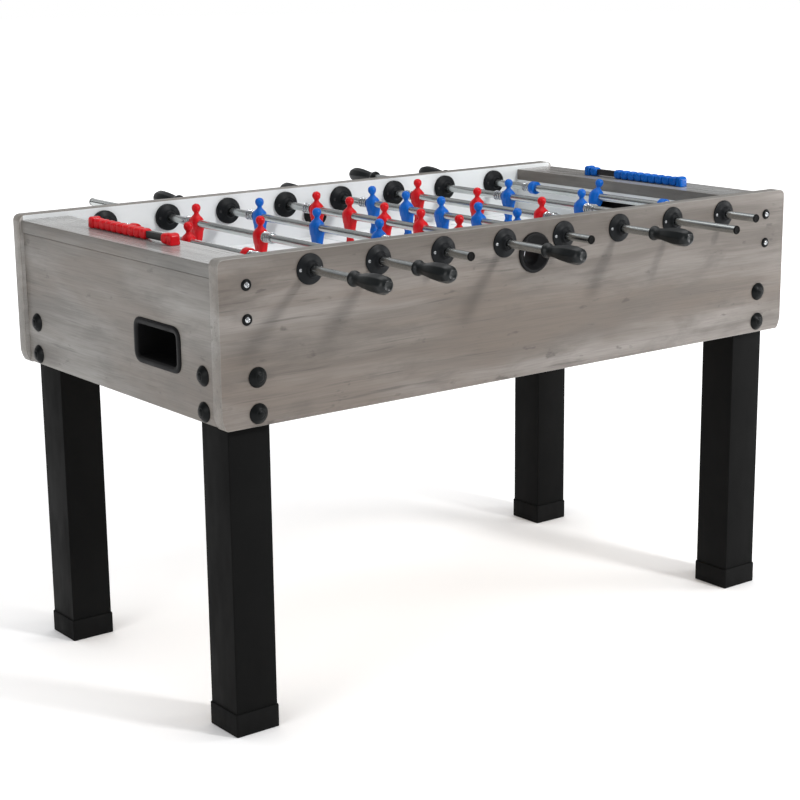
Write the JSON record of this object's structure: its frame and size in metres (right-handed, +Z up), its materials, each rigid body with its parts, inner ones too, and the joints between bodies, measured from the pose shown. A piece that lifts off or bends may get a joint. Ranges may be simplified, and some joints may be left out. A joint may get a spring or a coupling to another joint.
{
  "type": "foosball table",
  "caption": "Foosball table: grey-oak cabinet on square black legs, sliding and turning rods with red and blue figures, bead score counters.",
  "frame": {"origin": "on the floor, under the middle of the table", "axes": "+X along the table from the red goal to the blue goal, +Y across it from the near long side to the far one, +Z up"},
  "size_m": [1.436, 1.3375, 0.897],
  "materials": {
    "laminate": "grey oak laminate, satin",
    "white_board": "white melamine, satin",
    "raw_board": "bare board",
    "leg_black": "black satin lacquer",
    "rubber": "matte rubber",
    "black_plastic": "moulded, semi-gloss",
    "grip_black": "moulded, gloss",
    "chrome": "polished",
    "zinc": "zinc plated",
    "nylon": "matte",
    "red_plastic": "moulded, gloss",
    "blue_plastic": "moulded, gloss",
    "bar_black": "satin black"
  },
  "bodies": {
    "cabinet": {"side_panel_near": "laminate", "side_panel_far": "laminate", "end_panel_left": "laminate", "end_panel_right": "laminate", "cap_boards": "laminate", "goal_walls": "white_board", "playfield": "white_board", "base_board": "raw_board", "corner_blocks": "raw_board", "legs": "leg_black", "foot_caps": "rubber", "leg_bolts": "zinc", "bolt_caps": "black_plastic", "panel_screws": "chrome", "ball_inlets": "black_plastic", "return_cups": "black_plastic", "ball_chutes": "black_plastic", "flanges": "black_plastic", "flange_screws": "zinc", "score_bars": "bar_black", "score_posts_red": "red_plastic", "score_posts_blue": "blue_plastic"},
    "rod_1_bush_pair": {"rod_1_bushes": "nylon"},
    "rod_1": {"rod_1_tube": "chrome", "rod_1_players_red": "red_plastic", "rod_1_grip": "grip_black"},
    "rod_2_bush_pair": {"rod_2_bushes": "nylon"},
    "rod_2": {"rod_2_tube": "chrome", "rod_2_players_red": "red_plastic", "rod_2_grip": "grip_black"},
    "rod_3_bush_pair": {"rod_3_bushes": "nylon"},
    "rod_3": {"rod_3_tube": "chrome", "rod_3_players_blue": "blue_plastic", "rod_3_grip": "grip_black"},
    "rod_4_bush_pair": {"rod_4_bushes": "nylon"},
    "rod_4": {"rod_4_tube": "chrome", "rod_4_players_red": "red_plastic", "rod_4_grip": "grip_black"},
    "rod_5_bush_pair": {"rod_5_bushes": "nylon"},
    "rod_5": {"rod_5_tube": "chrome", "rod_5_players_blue": "blue_plastic", "rod_5_grip": "grip_black"},
    "rod_6_bush_pair": {"rod_6_bushes": "nylon"},
    "rod_6": {"rod_6_tube": "chrome", "rod_6_players_red": "red_plastic", "rod_6_grip": "grip_black"},
    "rod_7_bush_pair": {"rod_7_bushes": "nylon"},
    "rod_7": {"rod_7_tube": "chrome", "rod_7_players_blue": "blue_plastic", "rod_7_grip": "grip_black"},
    "rod_8_bush_pair": {"rod_8_bushes": "nylon"},
    "rod_8": {"rod_8_tube": "chrome", "rod_8_players_blue": "blue_plastic", "rod_8_grip": "grip_black"},
    "red_waiting_beads": {"score_beads_red_waiting": "red_plastic"},
    "red_next_bead": {"score_bead_red_next": "red_plastic"},
    "red_scored_bead": {"score_bead_red_scored": "red_plastic"},
    "blue_waiting_beads": {"score_beads_blue_waiting": "blue_plastic"},
    "blue_next_bead": {"score_bead_blue_next": "blue_plastic"},
    "blue_scored_bead": {"score_bead_blue_scored": "blue_plastic"}
  },
  "joints": [
    {"name": "rod_1_spin", "type": "hinge", "parent": "cabinet", "child": "rod_1_bush_pair", "pos_m": [-0.525, 0, 0.85], "axis": [0, 1, 0], "continuous": true},
    {"name": "rod_1_slide", "type": "slide", "parent": "rod_1_bush_pair", "child": "rod_1", "axis": [0, 1, 0], "range_m": [-0.0767, 0.0753]},
    {"name": "rod_2_spin", "type": "hinge", "parent": "cabinet", "child": "rod_2_bush_pair", "pos_m": [-0.375, 0, 0.85], "axis": [0, 1, 0], "continuous": true},
    {"name": "rod_2_slide", "type": "slide", "parent": "rod_2_bush_pair", "child": "rod_2", "axis": [0, 1, 0], "range_m": [-0.2657, 0.0597]},
    {"name": "rod_3_spin", "type": "hinge", "parent": "cabinet", "child": "rod_3_bush_pair", "pos_m": [-0.225, 0, 0.85], "axis": [0, 1, 0], "continuous": true},
    {"name": "rod_3_slide", "type": "slide", "parent": "rod_3_bush_pair", "child": "rod_3", "axis": [0, 1, 0], "range_m": [-0.1072, 0.0492]},
    {"name": "rod_4_spin", "type": "hinge", "parent": "cabinet", "child": "rod_4_bush_pair", "pos_m": [-0.075, 0, 0.85], "axis": [0, 1, 0], "continuous": true},
    {"name": "rod_4_slide", "type": "slide", "parent": "rod_4_bush_pair", "child": "rod_4", "axis": [0, 1, 0], "range_m": [-0.0302, 0.0626]},
    {"name": "rod_5_spin", "type": "hinge", "parent": "cabinet", "child": "rod_5_bush_pair", "pos_m": [0.075, 0, 0.85], "axis": [0, 1, 0], "continuous": true},
    {"name": "rod_5_slide", "type": "slide", "parent": "rod_5_bush_pair", "child": "rod_5", "axis": [0, 1, 0], "range_m": [-0.0456, 0.0472]},
    {"name": "rod_6_spin", "type": "hinge", "parent": "cabinet", "child": "rod_6_bush_pair", "pos_m": [0.225, 0, 0.85], "axis": [0, 1, 0], "continuous": true},
    {"name": "rod_6_slide", "type": "slide", "parent": "rod_6_bush_pair", "child": "rod_6", "axis": [0, 1, 0], "range_m": [-0.1237, 0.0327]},
    {"name": "rod_7_spin", "type": "hinge", "parent": "cabinet", "child": "rod_7_bush_pair", "pos_m": [0.375, 0, 0.85], "axis": [0, 1, 0], "continuous": true},
    {"name": "rod_7_slide", "type": "slide", "parent": "rod_7_bush_pair", "child": "rod_7", "axis": [0, 1, 0], "range_m": [-0.1822, 0.1432]},
    {"name": "rod_8_spin", "type": "hinge", "parent": "cabinet", "child": "rod_8_bush_pair", "pos_m": [0.525, 0, 0.85], "axis": [0, 1, 0], "continuous": true},
    {"name": "rod_8_slide", "type": "slide", "parent": "rod_8_bush_pair", "child": "rod_8", "axis": [0, 1, 0], "range_m": [-0.0928, 0.0592]},
    {"name": "red_next_bead_slide", "type": "slide", "parent": "cabinet", "child": "red_next_bead", "axis": [0, 1, 0], "range_m": [-0.0568, 0]},
    {"name": "red_scored_bead_slide", "type": "slide", "parent": "cabinet", "child": "red_scored_bead", "axis": [0, 1, 0], "range_m": [0, 0.0568]},
    {"name": "red_waiting_beads_slide", "type": "slide", "parent": "cabinet", "child": "red_waiting_beads", "axis": [0, 1, 0], "range_m": [-0.0284, 0]},
    {"name": "blue_next_bead_slide", "type": "slide", "parent": "cabinet", "child": "blue_next_bead", "axis": [0, 1, 0], "range_m": [0, 0.0568]},
    {"name": "blue_scored_bead_slide", "type": "slide", "parent": "cabinet", "child": "blue_scored_bead", "axis": [0, 1, 0], "range_m": [-0.0568, 0]},
    {"name": "blue_waiting_beads_slide", "type": "slide", "parent": "cabinet", "child": "blue_waiting_beads", "axis": [0, 1, 0], "range_m": [0, 0.0284]}
  ],
  "couplings": [
    {"joint": "red_waiting_beads_slide", "follows": "red_next_bead_slide", "ratio": 0.5},
    {"joint": "blue_waiting_beads_slide", "follows": "blue_next_bead_slide", "ratio": 0.5}
  ]
}
